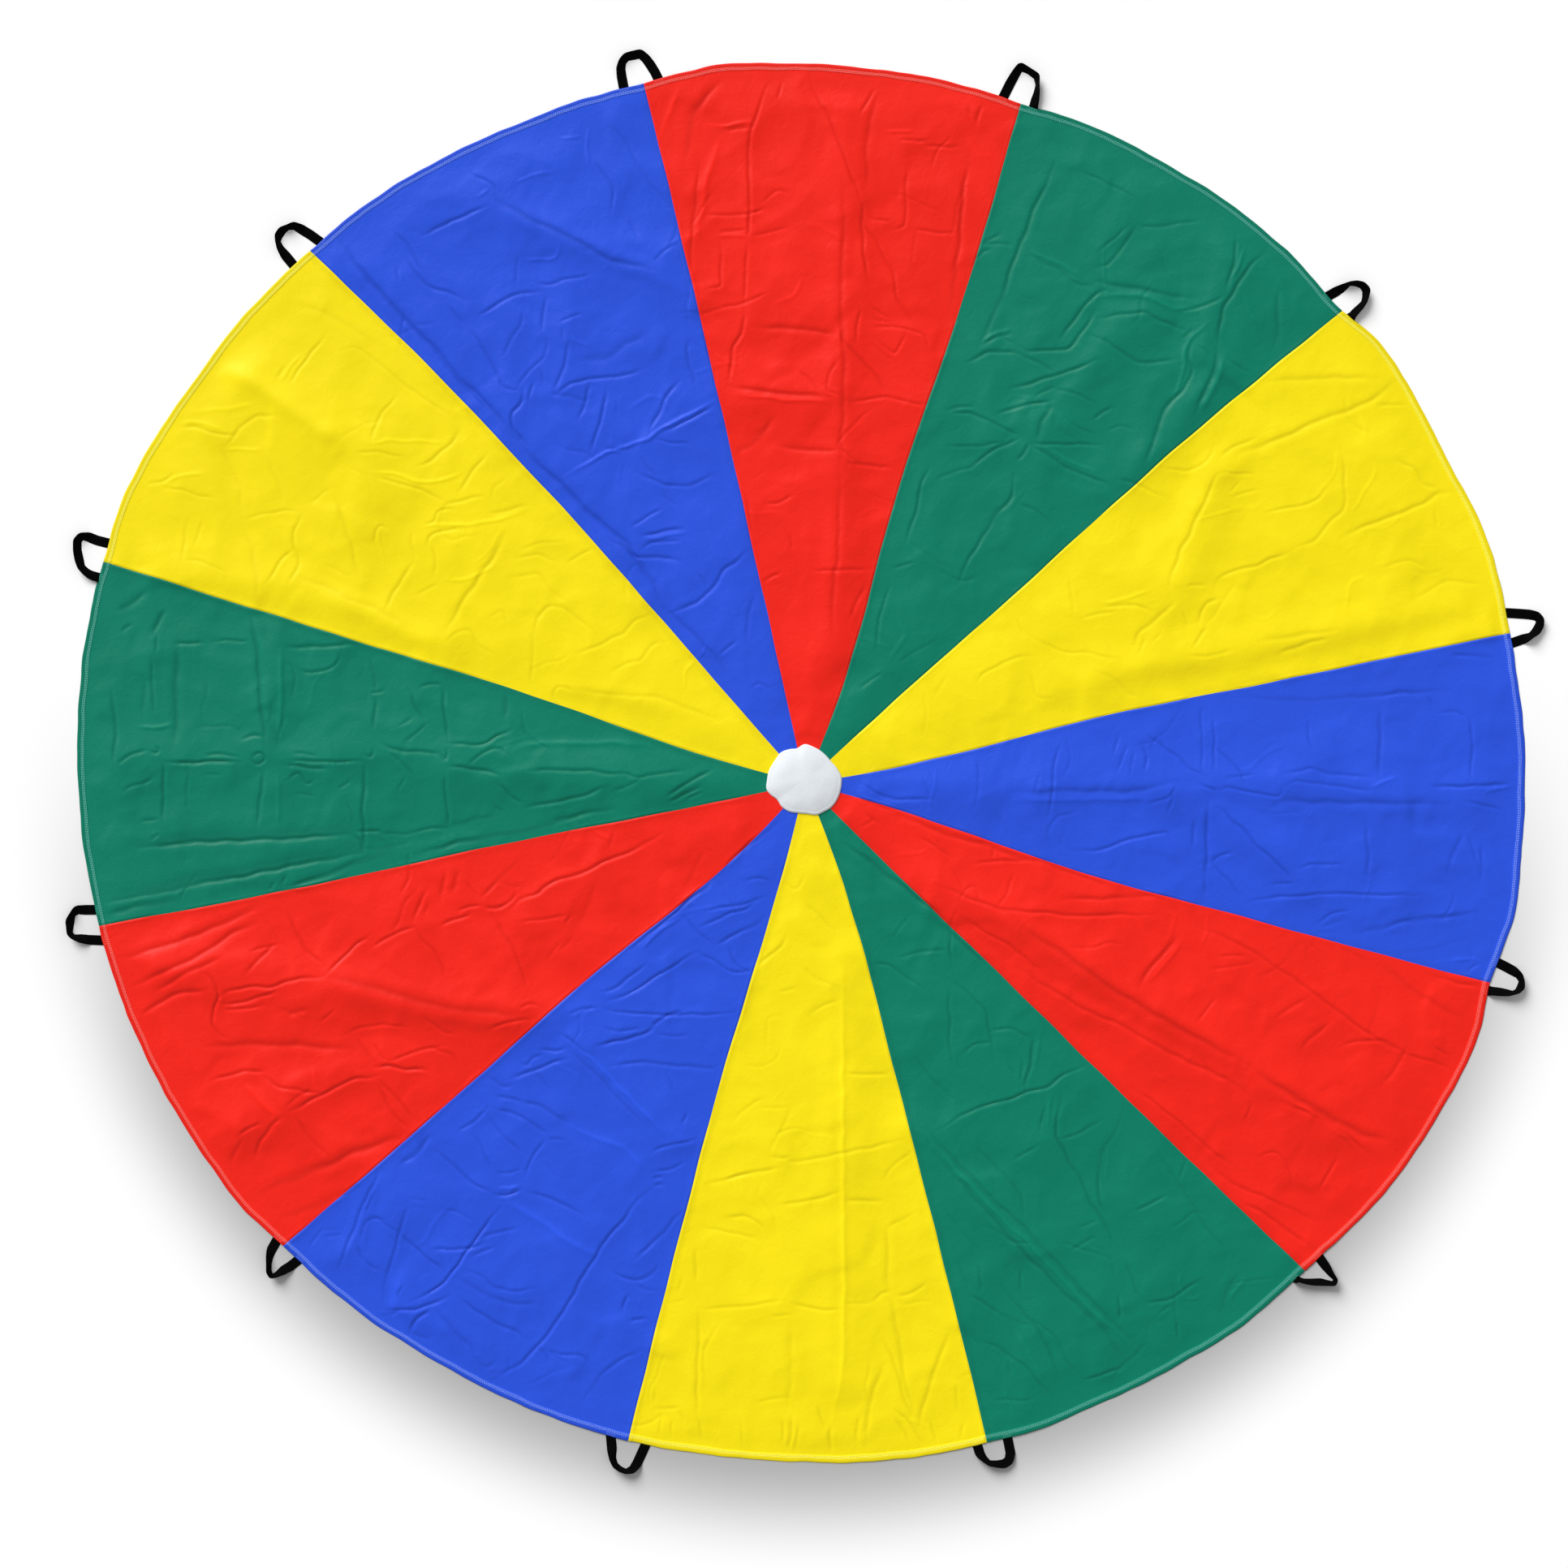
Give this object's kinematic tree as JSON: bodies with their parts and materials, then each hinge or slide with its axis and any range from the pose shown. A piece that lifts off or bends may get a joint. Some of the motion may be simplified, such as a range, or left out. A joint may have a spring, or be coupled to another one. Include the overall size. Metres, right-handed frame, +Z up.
{
  "type": "play parachute",
  "caption": "Round play parachute of coloured cloth gores under a white crown cap, with black webbing loop handles round the hem, laid out flat.",
  "frame": {"origin": "on the floor under the point where the gore seams meet, on the underside of the crown patch", "axes": "+Z up, square to the laid canopy; +Y towards the top of the picture, through the first red gore; +X to the right"},
  "size_m": [3.7514, 3.613, 0.0201],
  "materials": {
    "red_cloth": "fine plain-weave nylon with a soft sheen",
    "green_cloth": "fine plain-weave nylon with a soft sheen",
    "yellow_cloth": "fine plain-weave nylon with a soft sheen",
    "blue_cloth": "fine plain-weave nylon with a soft sheen",
    "white_cloth": "fine plain-weave nylon with a soft sheen",
    "black_webbing": "matte ribbed flat webbing"
  },
  "bodies": {
    "canopy": {"gore_01_red": "red_cloth", "gore_02_green": "green_cloth", "gore_03_yellow": "yellow_cloth", "gore_04_blue": "blue_cloth", "gore_05_red": "red_cloth", "gore_06_green": "green_cloth", "gore_07_yellow": "yellow_cloth", "gore_08_blue": "blue_cloth", "gore_09_red": "red_cloth", "gore_10_green": "green_cloth", "gore_11_yellow": "yellow_cloth", "gore_12_blue": "blue_cloth", "handle_01_end_left": "black_webbing", "handle_01_end_right": "black_webbing", "handle_02_end_left": "black_webbing", "handle_02_end_right": "black_webbing", "handle_03_end_left": "black_webbing", "handle_03_end_right": "black_webbing", "handle_04_end_left": "black_webbing", "handle_04_end_right": "black_webbing", "handle_05_end_left": "black_webbing", "handle_05_end_right": "black_webbing", "handle_06_end_left": "black_webbing", "handle_06_end_right": "black_webbing", "handle_07_end_left": "black_webbing", "handle_07_end_right": "black_webbing", "handle_08_end_left": "black_webbing", "handle_08_end_right": "black_webbing", "handle_09_end_left": "black_webbing", "handle_09_end_right": "black_webbing", "handle_10_end_left": "black_webbing", "handle_10_end_right": "black_webbing", "handle_11_end_left": "black_webbing", "handle_11_end_right": "black_webbing", "handle_12_end_left": "black_webbing", "handle_12_end_right": "black_webbing"},
    "crown": {"crown_cap": "white_cloth", "crown_patch": "white_cloth"},
    "handle_01": {"handle_01_loop": "black_webbing"},
    "handle_02": {"handle_02_loop": "black_webbing"},
    "handle_03": {"handle_03_loop": "black_webbing"},
    "handle_04": {"handle_04_loop": "black_webbing"},
    "handle_05": {"handle_05_loop": "black_webbing"},
    "handle_06": {"handle_06_loop": "black_webbing"},
    "handle_07": {"handle_07_loop": "black_webbing"},
    "handle_08": {"handle_08_loop": "black_webbing"},
    "handle_09": {"handle_09_loop": "black_webbing"},
    "handle_10": {"handle_10_loop": "black_webbing"},
    "handle_11": {"handle_11_loop": "black_webbing"},
    "handle_12": {"handle_12_loop": "black_webbing"}
  },
  "joints": [
    {"name": "crown_lift", "type": "slide", "parent": "canopy", "child": "crown", "axis": [0, 0, 1], "range_m": [0, 0.4], "deforming": ["gore_01_red", "gore_02_green", "gore_03_yellow", "gore_04_blue", "gore_05_red", "gore_06_green", "gore_07_yellow", "gore_08_blue", "gore_09_red", "gore_10_green", "gore_11_yellow", "gore_12_blue"]},
    {"name": "handle_01_fold", "type": "hinge", "parent": "canopy", "child": "handle_01", "pos_m": [-0.41565, 1.77204, 0.00075], "axis": [0.967, 0.2548, 0], "range_deg": [0, 150]},
    {"name": "handle_02_fold", "type": "hinge", "parent": "canopy", "child": "handle_02", "pos_m": [0.539, 1.72212, 0.00075], "axis": [0.9476, -0.3193, 0], "range_deg": [0, 150]},
    {"name": "handle_03_fold", "type": "hinge", "parent": "canopy", "child": "handle_03", "pos_m": [1.35311, 1.20752, 0.00075], "axis": [0.7181, -0.6959, 0], "range_deg": [0, 150]},
    {"name": "handle_04_fold", "type": "hinge", "parent": "canopy", "child": "handle_04", "pos_m": [1.787, 0.39521, 0.00075], "axis": [0.2002, -0.9798, 0], "range_deg": [0, 150]},
    {"name": "handle_05_fold", "type": "hinge", "parent": "canopy", "child": "handle_05", "pos_m": [1.74534, -0.48704, 0.00075], "axis": [-0.3246, -0.9459, 0], "range_deg": [0, 150]},
    {"name": "handle_06_fold", "type": "hinge", "parent": "canopy", "child": "handle_06", "pos_m": [1.27182, -1.22833, 0.00075], "axis": [-0.766, -0.6428, 0], "range_deg": [0, 150]},
    {"name": "handle_07_fold", "type": "hinge", "parent": "canopy", "child": "handle_07", "pos_m": [0.47246, -1.66374, 0.00075], "axis": [-0.9775, -0.2111, 0], "range_deg": [0, 150]},
    {"name": "handle_08_fold", "type": "hinge", "parent": "canopy", "child": "handle_08", "pos_m": [-0.44637, -1.66449, 0.00075], "axis": [-0.9768, 0.214, 0], "range_deg": [0, 150]},
    {"name": "handle_09_fold", "type": "hinge", "parent": "canopy", "child": "handle_09", "pos_m": [-1.30571, -1.18037, 0.00075], "axis": [-0.7342, 0.679, 0], "range_deg": [0, 150]},
    {"name": "handle_10_fold", "type": "hinge", "parent": "canopy", "child": "handle_10", "pos_m": [-1.78796, -0.35944, 0.00075], "axis": [-0.2525, 0.9676, 0], "range_deg": [0, 150]},
    {"name": "handle_11_fold", "type": "hinge", "parent": "canopy", "child": "handle_11", "pos_m": [-1.77383, 0.56144, 0.00075], "axis": [0.2348, 0.9721, 0], "range_deg": [0, 150]},
    {"name": "handle_12_fold", "type": "hinge", "parent": "canopy", "child": "handle_12", "pos_m": [-1.26276, 1.34425, 0.00075], "axis": [0.755, 0.6557, 0], "range_deg": [0, 150]}
  ]
}
